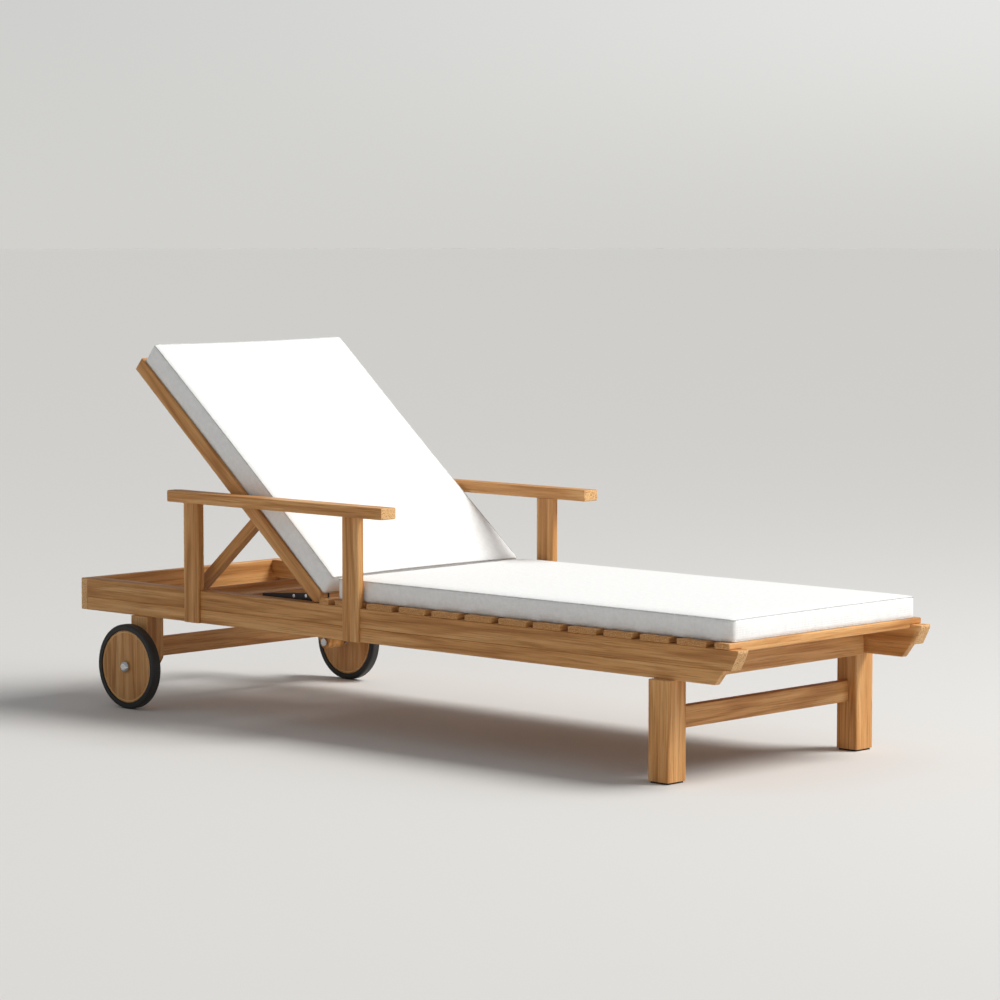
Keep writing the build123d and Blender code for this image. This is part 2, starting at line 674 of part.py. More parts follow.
def foot_bar():
    """Round bar that joins the struts: full size between them, a spigot inside each."""
    between = PROP_OUTER_Y - PROP_THICKNESS
    bar = crosswise_rod(FOOT_BAR_X, FOOT_BAR_Z, PROP_DEPTH / 2, (-between, between))
    return bar + crosswise_rod(FOOT_BAR_X, FOOT_BAR_Z, SPIGOT_RADIUS, (-PROP_OUTER_Y, PROP_OUTER_Y))


def prop_pin():
    """Pin fixed in the stile, on which the strut turns."""
    inner = PROP_THICKNESS - PROP_OUTER_Y
    shank = crosswise_rod(PIVOT_X, PIVOT_Z, PIN_RADIUS, (PIN_COVER - STILE_OUTER_Y, inner + FACE_GAP))
    head_range = (inner + FACE_GAP, inner + FACE_GAP + PIN_HEAD_HEIGHT)
    head = crosswise_rod(PIVOT_X, PIVOT_Z, PIN_HEAD_RADIUS, head_range)
    return shank + fillet(head.edges().sort_by(Axis.Y)[-1], HEAD_EASE)


def prop_washer():
    """Spacer on the prop pin between stile and strut."""
    y_range = (-STILE_INNER_Y, -PROP_OUTER_Y - FACE_GAP)
    ring = crosswise_rod(PIVOT_X, PIVOT_Z, PIN_HEAD_RADIUS, y_range)
    return ring - crosswise_rod(PIVOT_X, PIVOT_Z, PIN_RADIUS, y_range)


def prop_rack():
    """Notched batten on the inner face of the rail, under the foot bar."""
    top = FOOT_BAR_Z - PROP_DEPTH / 2 - RACK_CLEARANCE
    y_range = (-RAIL_INNER_Y, RACK_THICKNESS - RAIL_INNER_Y)
    rack = board((RACK_HEAD_END, PROP_CROSS_X), y_range, (top - RACK_HEIGHT, top))
    for angle in NOTCH_ANGLES:
        notch_z = top - NOTCH_DEPTH + NOTCH_RADIUS
        rack -= crosswise_rod(foot_bar_x(angle), notch_z, NOTCH_RADIUS, y_range)
    return rack


# ---- cushions -----------------------------------------------------------------------
def seat_cushion():
    """Soft pad on the seat slats."""
    half = CUSHION_WIDTH / 2
    return board(
        (SEAT_CUSHION_HEAD_END, SEAT_CUSHION_FOOT_END),
        (-half, half),
        (SLAT_TOP, SLAT_TOP + SEAT_CUSHION_THICKNESS),
        CUSHION_EDGE_RADIUS,
    )


def back_cushion():
    """Soft pad on the front of the backrest."""
    half = CUSHION_WIDTH / 2
    top = STILE_DEPTH / 2
    x_high, z_low = flat_point(BACK_CUSHION_START, top)
    x_low, z_high = flat_point(BACK_CUSHION_END, top + BACK_CUSHION_THICKNESS)
    pad = board((x_low, x_high), (-half, half), (z_low, z_high), CUSHION_EDGE_RADIUS)
    return leaned(pad)


# ---- write everything -----------------------------------------------------------------
os.makedirs("parts", exist_ok=True)

save_pair("side_rail", side_rail())
save_pair("side_apron", side_apron())
save("head_rail", head_rail())
save("foot_cross_rail", cross_rail(FOOT_CROSS_X, FOOT_CROSS_TOP - APRON_BOTTOM, FOOT_CROSS_TOP))
save("hinge_cross_rail", cross_rail(HINGE_CROSS_X, HINGE_CROSS_HEIGHT))
save("mid_cross_rail", cross_rail(MID_CROSS_X, MID_CROSS_HEIGHT))
save("prop_cross_rail", cross_rail(PROP_CROSS_X, PROP_CROSS_HEIGHT, RAIL_TOP - PROP_CROSS_DROP))

save("seat_slat_rear", seat_slat(REAR_SLAT_X, REAR_SLAT_WIDTH))
save("seat_slats", Compound([seat_slat(start, SLAT_WIDTH) for start in SLAT_STARTS]))
save("foot_slat", foot_slat())
save("slat_screws", Compound([slat_screw(x, y) for x, y in screw_places()]))

save_pair("foot_leg", foot_leg())
save_pair("rear_leg", rear_leg())
save("leg_glides", leg_glides())
save(
    "foot_stretcher",
    stretcher(FOOT_STRETCHER_X, FOOT_LEG_INNER_Y, FOOT_STRETCHER_BOTTOM, FOOT_STRETCHER_HEIGHT),
)
save(
    "rear_stretcher",
    stretcher(WHEEL_X, REAR_LEG_INNER_Y, REAR_STRETCHER_BOTTOM, REAR_STRETCHER_HEIGHT),
)

save_pair("arm_post_rear", arm_post(REAR_POST_X))
save_pair("arm_post_front", arm_post(FRONT_POST_X))
save_pair("armrest", armrest())
save("post_bolts", post_bolts())

save_pair("wheel_disc", wheel_disc())
save_pair("tyre", tyre())
save_pair("wheel_bush", wheel_bush())
save_pair("stub_axle", stub_axle())
save_pair("axle_spacer", axle_spacer())
save_pair("hub_cap", hub_cap())

save_pair("hinge_plate", hinge_plate())
save_pair("hinge_pin", hinge_pin())
save("plate_rivets", plate_rivets())
save_pair("backrest_stile", stile())
save("backrest_bottom_rail", back_rail(BACK_RAIL_START, BACK_BOTTOM_RAIL_THICKNESS))
save("backrest_top_rail", back_rail(STILE_REACH - BACK_RAIL_WIDTH, BACK_TOP_RAIL_THICKNESS))
save("backrest_slats", back_slats())

save_pair("prop_strut", prop_strut())
save("prop_foot_bar", foot_bar())
save_pair("prop_pin", prop_pin())
save_pair("prop_washer", prop_washer())
save_pair("prop_rack", prop_rack())

save("seat_cushion", seat_cushion())
save("back_cushion", back_cushion())
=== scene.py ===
"""Looks of the reclining sun lounger: teak boards, canvas cushions, tyred wheels and a studio."""
import json
import logging
import math
from dataclasses import dataclass, field
from enum import Enum
from typing import Iterable, Sequence

import bpy
from mathutils import Matrix, Vector

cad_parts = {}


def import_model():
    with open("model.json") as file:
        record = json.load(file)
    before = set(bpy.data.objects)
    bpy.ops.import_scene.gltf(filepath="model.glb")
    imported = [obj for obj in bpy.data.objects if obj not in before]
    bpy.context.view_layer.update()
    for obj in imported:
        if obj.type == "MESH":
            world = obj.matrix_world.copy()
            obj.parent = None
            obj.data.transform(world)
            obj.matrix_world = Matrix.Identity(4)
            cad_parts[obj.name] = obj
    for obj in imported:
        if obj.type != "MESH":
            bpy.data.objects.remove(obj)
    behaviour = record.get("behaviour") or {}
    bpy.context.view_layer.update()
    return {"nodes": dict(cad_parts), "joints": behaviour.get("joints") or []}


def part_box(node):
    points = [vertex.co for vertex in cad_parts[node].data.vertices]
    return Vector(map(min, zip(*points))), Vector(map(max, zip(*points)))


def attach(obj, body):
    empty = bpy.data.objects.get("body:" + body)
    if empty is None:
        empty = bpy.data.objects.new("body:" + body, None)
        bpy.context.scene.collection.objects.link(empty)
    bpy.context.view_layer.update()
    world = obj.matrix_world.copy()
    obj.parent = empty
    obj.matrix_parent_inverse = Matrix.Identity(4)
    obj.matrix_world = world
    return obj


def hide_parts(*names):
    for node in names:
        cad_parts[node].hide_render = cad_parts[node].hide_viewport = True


LOG = logging.getLogger("sun_lounger")
MM = 0.001
SIDES = ("right", "left")
LEVEL = 0.01 * MM  # points nearer than this to a plane lie in it


# ---------------------------------------------------------------------------
# Small tools
# ---------------------------------------------------------------------------
def linear_colour(hex_value: str) -> tuple[float, float, float, float]:
    """Turn an sRGB hex colour into the linear colour that shaders use.

    Args:
        hex_value: Six hex digits, with or without a leading hash.

    Returns:
        Linear red, green, blue and an alpha of one.
    """
    digits = hex_value.lstrip("#")
    channels = []
    for start in (0, 2, 4):
        value = int(digits[start:start + 2], 16) / 255
        channels.append(value / 12.92 if value <= 0.04045 else ((value + 0.055) / 1.055) ** 2.4)
    return (channels[0], channels[1], channels[2], 1.0)


def add_node(
    owner: bpy.types.Material | bpy.types.World,
    kind: str,
    settings: dict[str, object] | None = None,
    inputs: dict[str | int, object] | None = None,
) -> bpy.types.Node:
    """Add one node with its settings and links.

    Args:
        owner: The material or world whose tree gets the node.
        kind: The node's type name, such as "ShaderNodeTexNoise".
        settings: Properties of the node itself.
        inputs: Values or output sockets for its input sockets.

    Returns:
        The new node.
    """
    tree = owner.node_tree
    node = tree.nodes.new(kind)
    for name, value in (settings or {}).items():
        setattr(node, name, value)
    for name, value in (inputs or {}).items():
        if isinstance(value, bpy.types.NodeSocket):
            tree.links.new(value, node.inputs[name])
        else:
            node.inputs[name].default_value = value
    return node


def add_ramp(
    owner: bpy.types.Material | bpy.types.World,
    factor: bpy.types.NodeSocket,
    stops: Sequence[tuple[float, str]],
) -> bpy.types.NodeSocket:
    """Add a colour ramp and return its colour.

    Args:
        owner: The material or world whose tree gets the ramp.
        factor: The value that drives it.
        stops: Positions with sRGB hex colours.

    Returns:
        The ramp's colour output.
    """
    node = add_node(owner, "ShaderNodeValToRGB", inputs={"Fac": factor})
    ramp = node.color_ramp
    while len(ramp.elements) < len(stops):
        ramp.elements.new(1.0)
    for element, (position, colour) in zip(ramp.elements, stops):
        element.position = position
        element.color = linear_colour(colour)
    return node.outputs["Color"]


def new_material(name: str) -> bpy.types.Material:
    """Start an empty node material."""
    material = bpy.data.materials.new(name)
    material.use_nodes = True
    material.node_tree.nodes.clear()
    return material


def close_material(material: bpy.types.Material, shader: bpy.types.Node) -> bpy.types.Material:
    """Join a shader to the material's output and return the material."""
    add_node(material, "ShaderNodeOutputMaterial", inputs={"Surface": shader.outputs["BSDF"]})
    return material


def dress(obj: bpy.types.Object, material: bpy.types.Material) -> None:
    """Give a piece one material in every slot."""
    if not obj.material_slots:
        obj.data.materials.append(material)
    for material_slot in obj.material_slots:
        material_slot.material = material


def only(obj: bpy.types.Object) -> None:
    """Select one object, make it active and drop every other selection."""
    if bpy.context.mode != "OBJECT":
        bpy.ops.object.mode_set(mode="OBJECT")
    bpy.ops.object.select_all(action="DESELECT")
    obj.select_set(True)
    bpy.context.view_layer.objects.active = obj


# ---------------------------------------------------------------------------
# Finishes
# ---------------------------------------------------------------------------
class Grain(Enum):
    """Which way the long fibres of a board run, as a turn that lays them along X."""

    LENGTHWISE = (0.0, 0.0, 0.0)
    CROSSWISE = (0.0, 0.0, -90.0)
    UPRIGHT = (0.0, 90.0, 0.0)
    BACKREST = (0.0, -40.0, 0.0)
    STRUT = (0.0, 40.4, 0.0)


@dataclass(frozen=True)
class Teak:
    """Oiled teak, planed and sanded: golden brown with long dark pore lines and a satin oil film.

    The pore lines are really about 0.3 mm wide. They are drawn 2 to 4 mm wide so that they show.
    """

    name: str
    grain: Grain
    seed: float = 0.0
    tone: float = 1.0
    light: str = "#e2b076"
    middle: str = "#cf9659"
    dark: str = "#b0763f"
    pore: str = "#7a4719"
    end_grain: str = "#e2ba84"
    # Centre and radii of a pale band painted near a disc's rim, if any.
    ring: tuple[float, float, float, float] | None = None
    seed_step: tuple[float, float, float] = (0.37, 0.113, 0.071)
    roughness: tuple[float, float] = (0.46, 0.68)
    relief_strength: float = 0.35
    relief_height: float = 0.6 * MM
    refraction: float = 1.47
    reflection: float = 0.35
    wander_cells: tuple[float, float] = (1.1, 14.0)
    rings_in_cell: float = 14.0
    late_wood: float = 0.35
    pore_cells: tuple[float, float] = (8.0, 360.0)
    pore_limits: tuple[float, float] = (0.46, 0.7)
    pore_share: float = 0.46
    streak_cells: tuple[float, float] = (1.6, 60.0)
    figure_share: float = 0.16
    dot_cells: tuple[float, float] = (40.0, 420.0)
    end_limits: tuple[float, float] = (0.7, 0.95)

    def build(self) -> bpy.types.Material:
        """Make the material."""
        material = new_material(f"oiled_teak_{self.name}")
        turn = tuple(math.radians(angle) for angle in self.grain.value)
        place = add_node(material, "ShaderNodeTexCoord")
        along = add_node(
            material,
            "ShaderNodeMapping",
            inputs={"Vector": place.outputs["Object"], "Rotation": turn,
                    "Location": tuple(self.seed * step for step in self.seed_step)},
        )
        facing = add_node(
            material,
            "ShaderNodeMapping",
            {"vector_type": "NORMAL"},
            {"Vector": place.outputs["Normal"], "Rotation": turn},
        )
        figure = self._figure(material, along.outputs["Vector"])
        pores = self._pores(material, along.outputs["Vector"])
        ends = self._end_mask(material, facing.outputs["Vector"])
        colour = self._colour(material, along.outputs["Vector"], figure, pores, ends)
        relief = add_node(
            material,
            "ShaderNodeMath",
            {"operation": "MULTIPLY_ADD"},
            {0: pores, 1: -1.0, 2: figure},
        )
        bump = add_node(
            material,
            "ShaderNodeBump",
            inputs={"Height": relief.outputs["Value"], "Strength": self.relief_strength,
                    "Distance": self.relief_height},
        )
        gloss = add_node(
            material,
            "ShaderNodeMapRange",
            inputs={"Value": pores, "To Min": self.roughness[0], "To Max": self.roughness[1]},
        )
        shader = add_node(
            material,
            "ShaderNodeBsdfPrincipled",
            inputs={"Base Color": colour, "Roughness": gloss.outputs["Result"],
                    "Normal": bump.outputs["Normal"], "IOR": self.refraction,
                    "Specular IOR Level": self.reflection},
        )
        return close_material(material, shader)

    def _stretched(
        self, material: bpy.types.Material, vector: bpy.types.NodeSocket, lengthwise: float, across: float
    ) -> bpy.types.NodeSocket:
        """Scale a coordinate so that patterns run long along the fibres.

        Args:
            material: The material being made.
            vector: Coordinates with the fibres along X.
            lengthwise: Pattern cells per metre along the fibres.
            across: Pattern cells per metre across them.

        Returns:
            The scaled coordinate.
        """
        node = add_node(
            material,
            "ShaderNodeMapping",
            inputs={"Vector": vector, "Scale": (lengthwise, across, across)},
        )
        return node.outputs["Vector"]

    def _figure(self, material: bpy.types.Material, vector: bpy.types.NodeSocket) -> bpy.types.NodeSocket:
        """Growth rings 6 to 12 mm apart, cut at a slant and wandering along the board.

        Args:
            material: The material being made.
            vector: Coordinates with the fibres along X.

        Returns:
            A value from 0, early wood, to 1, late wood.
        """
        wander = add_node(
            material,
            "ShaderNodeTexNoise",
            inputs={"Vector": self._stretched(material, vector, *self.wander_cells), "Scale": 1.0,
                    "Detail": 2.0, "Roughness": 0.45},
        )
        spread = add_node(
            material,
            "ShaderNodeMath",
            {"operation": "MULTIPLY"},
            {0: wander.outputs["Fac"], 1: self.rings_in_cell},
        )
        rings = add_node(
            material,
            "ShaderNodeMath",
            {"operation": "PINGPONG"},
            {0: spread.outputs["Value"], 1: 1.0},
        )
        soft = add_node(
            material,
            "ShaderNodeMapRange",
            {"interpolation_type": "SMOOTHSTEP"},
            {"Value": rings.outputs["Value"], "From Min": self.late_wood, "From Max": 1.0},
        )
        return soft.outputs["Result"]

    def _pores(self, material: bpy.types.Material, vector: bpy.types.NodeSocket) -> bpy.types.NodeSocket:
        """Dark pore lines, 60 to 200 mm long.

        Args:
            material: The material being made.
            vector: Coordinates with the fibres along X.

        Returns:
            A value from 0, plain wood, to 1, pore.
        """
        lines = add_node(
            material,
            "ShaderNodeTexNoise",
            inputs={"Vector": self._stretched(material, vector, *self.pore_cells), "Scale": 1.0,
                    "Detail": 4.0, "Roughness": 0.7},
        )
        sharp = add_node(
            material,
            "ShaderNodeMapRange",
            {"interpolation_type": "SMOOTHSTEP"},
            {"Value": lines.outputs["Fac"], "From Min": self.pore_limits[0],
             "From Max": self.pore_limits[1]},
        )
        return sharp.outputs["Result"]

    def _end_mask(self, material: bpy.types.Material, facing: bpy.types.NodeSocket) -> bpy.types.NodeSocket:
        """Where a face cuts across the fibres.

        Args:
            material: The material being made.
            facing: The surface normal with the fibres along X.

        Returns:
            A value of 1 on end grain.
        """
        parts = add_node(material, "ShaderNodeSeparateXYZ", inputs={"Vector": facing})
        size = add_node(material, "ShaderNodeMath", {"operation": "ABSOLUTE"}, {0: parts.outputs["X"]})
        mask = add_node(
            material,
            "ShaderNodeMapRange",
            {"interpolation_type": "SMOOTHSTEP"},
            {"Value": size.outputs["Value"], "From Min": self.end_limits[0],
             "From Max": self.end_limits[1]},
        )
        return mask.outputs["Result"]

    def _colour(
        self,
        material: bpy.types.Material,
        vector: bpy.types.NodeSocket,
        figure: bpy.types.NodeSocket,
        pores: bpy.types.NodeSocket,
        ends: bpy.types.NodeSocket,
    ) -> bpy.types.NodeSocket:
        """Mix the board's colours.

        Args:
            material: The material being made.
            vector: Coordinates with the fibres along X.
            figure: Growth ring value.
            pores: Pore value.
            ends: End grain mask.

        Returns:
            The surface colour.
        """
        streaks = add_node(
            material,
            "ShaderNodeTexNoise",
            inputs={"Vector": self._stretched(material, vector, *self.streak_cells), "Scale": 1.0,
                    "Detail": 6.0, "Roughness": 0.68},
        )
        blend = add_node(
            material,
            "ShaderNodeMix",
            {"data_type": "FLOAT"},
            {"Factor": self.figure_share, "A": streaks.outputs["Fac"], "B": figure},
        )
        wood = add_ramp(
            material,
            blend.outputs["Result"],
            ((0.3, self.light), (0.47, self.middle), (0.66, self.dark)),
        )
        lined = add_node(
            material,
            "ShaderNodeMix",
            {"data_type": "RGBA"},
            {"Factor": self._scaled(material, pores, self.pore_share), "A": wood,
             "B": linear_colour(self.pore)},
        )
        dots = add_node(
            material,
            "ShaderNodeTexNoise",
            inputs={"Vector": self._stretched(material, vector, *self.dot_cells), "Scale": 1.0,
                    "Detail": 2.0},
        )
        dotted = add_ramp(
            material,
            dots.outputs["Fac"],
            ((0.38, self.dark), (0.5, self.end_grain), (0.7, self.light)),
        )
        ended = add_node(
            material,
            "ShaderNodeMix",
            {"data_type": "RGBA"},
            {"Factor": ends, "A": lined.outputs["Result"], "B": dotted},
        )
        toned = add_node(
            material,
            "ShaderNodeHueSaturation",
            inputs={"Color": ended.outputs["Result"], "Value": self.tone},
        )
        if self.ring is None:
            return toned.outputs["Color"]
        # Pale band painted near the disc's rim in the end grain colour.
        banded = add_node(
            material,
            "ShaderNodeMix",
            {"data_type": "RGBA"},
            {"Factor": self._ring_mask(material), "A": toned.outputs["Color"],
             "B": linear_colour(self.end_grain)},
        )
        return banded.outputs["Result"]

    def _ring_mask(self, material: bpy.types.Material) -> bpy.types.NodeSocket:
        """A band near a disc's rim, painted pale in the end grain colour.

        Args:
            material: The material being made.

        Returns:
            A value of 1 in the band.
        """
        middle_x, middle_z, inner, outer = self.ring
        place = add_node(material, "ShaderNodeTexCoord")
        centred = add_node(
            material,
            "ShaderNodeVectorMath",
            {"operation": "SUBTRACT"},
            {0: place.outputs["Object"], 1: (middle_x, 0.0, middle_z)},
        )
        flat = add_node(
            material,
            "ShaderNodeVectorMath",
            {"operation": "MULTIPLY"},
            {0: centred.outputs["Vector"], 1: (1.0, 0.0, 1.0)},
        )
        reach = add_node(
            material, "ShaderNodeVectorMath", {"operation": "LENGTH"}, {0: flat.outputs["Vector"]}
        )
        above = add_node(
            material, "ShaderNodeMath", {"operation": "GREATER_THAN"}, {0: reach.outputs["Value"], 1: inner}
        )
        below = add_node(
            material, "ShaderNodeMath", {"operation": "LESS_THAN"}, {0: reach.outputs["Value"], 1: outer}
        )
        both = add_node(
            material,
            "ShaderNodeMath",
            {"operation": "MULTIPLY"},
            {0: above.outputs["Value"], 1: below.outputs["Value"]},
        )
        return both.outputs["Value"]

    def _scaled(
        self, material: bpy.types.Material, value: bpy.types.NodeSocket, share: float
    ) -> bpy.types.NodeSocket:
        """Multiply a value by a constant."""
        node = add_node(material, "ShaderNodeMath", {"operation": "MULTIPLY"}, {0: value, 1: share})
        return node.outputs["Value"]


@dataclass(frozen=True)
class Canvas:
    """White outdoor canvas, plain woven from spun acrylic: matte, with a soft fuzz that lifts its edges.

    The threads are really about 0.6 mm apart. They are drawn 2.4 mm apart so that they show.
    """

    name: str
    lean: float = 0.0
    thread: float = 2.4 * MM
    light: str = "#f4f4f3"
    shade: str = "#ececeb"
    slub_cells: float = 90.0
    fold_cells: float = 7.0
    weave_strength: float = 0.25
    weave_height: float = 0.3 * MM
    fold_strength: float = 0.3
    fold_height: float = 6 * MM
    roughness: float = 0.92
    sheen: float = 0.18
    reflection: float = 0.2

    def build(self) -> bpy.types.Material:
        """Make the material."""
        material = new_material(f"woven_canvas_{self.name}")
        place = add_node(material, "ShaderNodeTexCoord")
        turned = add_node(
            material,
            "ShaderNodeMapping",
            inputs={"Vector": place.outputs["Object"], "Rotation": (0.0, -self.lean, 0.0)},
        )
        weave = self._weave(material, turned.outputs["Vector"])
        slubs = add_node(
            material,
            "ShaderNodeTexNoise",
            inputs={"Vector": turned.outputs["Vector"], "Scale": self.slub_cells, "Detail": 5.0,
                    "Roughness": 0.65},
        )
        folds = add_node(
            material,
            "ShaderNodeTexNoise",
            inputs={"Vector": turned.outputs["Vector"], "Scale": self.fold_cells, "Detail": 2.0,
                    "Distortion": 0.4},
        )
        colour = add_ramp(material, slubs.outputs["Fac"], ((0.3, self.shade), (0.62, self.light)))
        cloth = add_node(
            material,
            "ShaderNodeBump",
            inputs={"Height": weave, "Strength": self.weave_strength,
                    "Distance": self.weave_height},
        )
        soft = add_node(
            material,
            "ShaderNodeBump",
            inputs={"Height": folds.outputs["Fac"], "Strength": self.fold_strength,
                    "Distance": self.fold_height, "Normal": cloth.outputs["Normal"]},
        )
        shader = add_node(
            material,
            "ShaderNodeBsdfPrincipled",
            inputs={"Base Color": colour, "Roughness": self.roughness, "Sheen Weight": self.sheen,
                    "Sheen Roughness": 0.5, "Specular IOR Level": self.reflection,
                    "Normal": soft.outputs["Normal"]},
        )
        return close_material(material, shader)

    def _weave(self, material: bpy.types.Material, vector: bpy.types.NodeSocket) -> bpy.types.NodeSocket:
        """Over and under pattern of the threads in all three planes.

        Args:
            material: The material being made.
            vector: Coordinates square to the cushion.

        Returns:
            A height value.
        """
        turns = math.pi / self.thread
        scaled = add_node(
            material,
            "ShaderNodeVectorMath",
            {"operation": "SCALE"},
            {0: vector, "Scale": turns},
        )
        waves = add_node(
            material,
            "ShaderNodeVectorMath",
            {"operation": "SINE"},
            {0: scaled.outputs["Vector"]},
        )
        parts = add_node(material, "ShaderNodeSeparateXYZ", inputs={"Vector": waves.outputs["Vector"]})
        total = None
        for first, second in (("X", "Y"), ("Y", "Z"), ("Z", "X")):
            crossing = add_node(
                material,
                "ShaderNodeMath",
                {"operation": "MULTIPLY"},
                {0: parts.outputs[first], 1: parts.outputs[second]},
            )
            if total is None:
                total = crossing.outputs["Value"]
            else:
                joined = add_node(
                    material,
                    "ShaderNodeMath",
                    {"operation": "ADD"},
                    {0: total, 1: crossing.outputs["Value"]},
                )
                total = joined.outputs["Value"]
        return total


@dataclass(frozen=True)
class Rubber:
    """Black tyre rubber, compression moulded: nearly black, satin, greyer where it has rolled."""

    name: str
    wheel_middle: tuple[float, float, float]
    radius: float
    clean: str = "#0d0d0d"
    dusty: str = "#2b2a29"
    tread_depth: float = 3 * MM
    dust_cells: float = 180.0
    roughness: tuple[float, float] = (0.38, 0.62)
    relief_strength: float = 0.15
    relief_height: float = 0.4 * MM
    refraction: float = 1.52

    def build(self) -> bpy.types.Material:
        """Make the material."""
        material = new_material(f"moulded_rubber_{self.name}")
        place = add_node(material, "ShaderNodeTexCoord")
        centred = add_node(
            material,
            "ShaderNodeVectorMath",
            {"operation": "SUBTRACT"},
            {0: place.outputs["Object"], 1: self.wheel_middle},
        )
        flat = add_node(
            material,
            "ShaderNodeVectorMath",
            {"operation": "MULTIPLY"},
            {0: centred.outputs["Vector"], 1: (1.0, 0.0, 1.0)},
        )
        reach = add_node(
            material, "ShaderNodeVectorMath", {"operation": "LENGTH"}, {0: flat.outputs["Vector"]}
        )
        tread = add_node(
            material,
            "ShaderNodeMapRange",
            {"interpolation_type": "SMOOTHSTEP"},
            {"Value": reach.outputs["Value"], "From Min": self.radius - self.tread_depth,
             "From Max": self.radius},
        )
        dust = add_node(
            material,
            "ShaderNodeTexNoise",
            inputs={"Vector": place.outputs["Object"], "Scale": self.dust_cells, "Detail": 5.0,
                    "Roughness": 0.7},
        )
        worn = add_node(
            material,
            "ShaderNodeMath",
            {"operation": "MULTIPLY"},
            {0: dust.outputs["Fac"], 1: tread.outputs["Result"]},
        )
        colour = add_ramp(material, worn.outputs["Value"], ((0.0, self.clean), (0.7, self.dusty)))
        gloss = add_node(
            material,
            "ShaderNodeMapRange",
            inputs={"Value": dust.outputs["Fac"], "To Min": self.roughness[0],
                    "To Max": self.roughness[1]},
        )
        bump = add_node(
            material,
            "ShaderNodeBump",
            inputs={"Height": dust.outputs["Fac"], "Strength": self.relief_strength,
                    "Distance": self.relief_height},
        )
        shader = add_node(
            material,
            "ShaderNodeBsdfPrincipled",
            inputs={"Base Color": colour, "Roughness": gloss.outputs["Result"],
                    "IOR": self.refraction, "Normal": bump.outputs["Normal"]},
        )
        return close_material(material, shader)


@dataclass(frozen=True)
class FittingFinish:
    """Finish of a small fitting: bright turned steel, black powder coat or moulded nylon."""

    name: str
    colour: str
    low_roughness: float
    high_roughness: float
    metallic: float = 1.0
    pattern: float = 400.0
    tint_limits: tuple[float, float] = (0.85, 1.15)
    relief_strength: float = 0.12
    relief_height: float = 0.2 * MM

    def build(self) -> bpy.types.Material:
        """Make the material."""
        material = new_material(self.name)
        place = add_node(material, "ShaderNodeTexCoord")
        fine = add_node(
            material,
            "ShaderNodeTexNoise",
            inputs={"Vector": place.outputs["Object"], "Scale": self.pattern, "Detail": 4.0},
        )
        gloss = add_node(
            material,
            "ShaderNodeMapRange",
            inputs={"Value": fine.outputs["Fac"], "To Min": self.low_roughness,
                    "To Max": self.high_roughness},
        )
        tint = add_node(
            material,
            "ShaderNodeHueSaturation",
            inputs={"Color": linear_colour(self.colour), "Value": 1.0},
        )
        shift = add_node(
            material,
            "ShaderNodeMapRange",
            inputs={"Value": fine.outputs["Fac"], "To Min": self.tint_limits[0],
                    "To Max": self.tint_limits[1]},
        )
        material.node_tree.links.new(shift.outputs["Result"], tint.inputs["Value"])
        bump = add_node(
            material,
            "ShaderNodeBump",
            inputs={"Height": fine.outputs["Fac"], "Strength": self.relief_strength,
                    "Distance": self.relief_height},
        )
        shader = add_node(
            material,
            "ShaderNodeBsdfPrincipled",
            inputs={"Base Color": tint.outputs["Color"], "Metallic": self.metallic,
                    "Roughness": gloss.outputs["Result"], "Normal": bump.outputs["Normal"]},
        )
        return close_material(material, shader)


# ---------------------------------------------------------------------------
# Wooden and metal sub-assemblies, dressed where the CAD put them
# ---------------------------------------------------------------------------
@dataclass
class WoodenFrame:
    """Side rails, cross members, legs and seat slats, whose planed ends are darker than sawn ones."""

    nodes: dict[str, bpy.types.Object]
    dark_ends: str = "#bd8750"
    low_tone: float = 0.95
    tone_spread: float = 0.12
    tone_steps: int = 10
    tone_stride: int = 7
    boards: dict[str, Grain] = field(
        default_factory=lambda: {
            "side_rail_right": Grain.LENGTHWISE,
            "side_rail_left": Grain.LENGTHWISE,
            "side_apron_right": Grain.LENGTHWISE,
            "side_apron_left": Grain.LENGTHWISE,
            "head_rail": Grain.CROSSWISE,
            "foot_cross_rail": Grain.CROSSWISE,
            "hinge_cross_rail": Grain.CROSSWISE,
            "mid_cross_rail": Grain.CROSSWISE,
            "prop_cross_rail": Grain.CROSSWISE,
            "seat_slat_rear": Grain.CROSSWISE,
            "seat_slats": Grain.CROSSWISE,
            "foot_slat": Grain.CROSSWISE,
            "foot_stretcher": Grain.CROSSWISE,
            "rear_stretcher": Grain.CROSSWISE,
            "foot_leg_right": Grain.UPRIGHT,
            "foot_leg_left": Grain.UPRIGHT,
            "rear_leg_right": Grain.UPRIGHT,
            "rear_leg_left": Grain.UPRIGHT,
            "prop_rack_right": Grain.LENGTHWISE,
            "prop_rack_left": Grain.LENGTHWISE,
        }
    )

    def dress(self) -> None:
        """Give every board its own piece of teak."""
        for index, (name, grain) in enumerate(self.boards.items()):
            step = (index * self.tone_stride) % self.tone_steps
            tone = self.low_tone + self.tone_spread * step / (self.tone_steps - 1)
            ends = self.dark_ends if "slat" in name else Teak.end_grain
            teak = Teak(name, grain, seed=index + 1.0, tone=tone, end_grain=ends)
            dress(self.nodes[name], teak.build())


@dataclass
class Armrests:
    """Flat arms on two posts a side."""

    nodes: dict[str, bpy.types.Object]
    first_seed: float = 31.0
    arm_tone: float = 1.02
    post_tone: float = 0.98

    def dress(self) -> None:
        """Dress the arms lengthwise and the posts upright."""
        for index, side in enumerate(SIDES):
            seed = self.first_seed + 3 * index
            arm = f"armrest_{side}"
            dress(self.nodes[arm], Teak(arm, Grain.LENGTHWISE, seed, self.arm_tone).build())
            for offset, place in enumerate(("front", "rear")):
                name = f"arm_post_{place}_{side}"
                teak = Teak(name, Grain.UPRIGHT, seed + 1 + offset, self.post_tone)
                dress(self.nodes[name], teak.build())


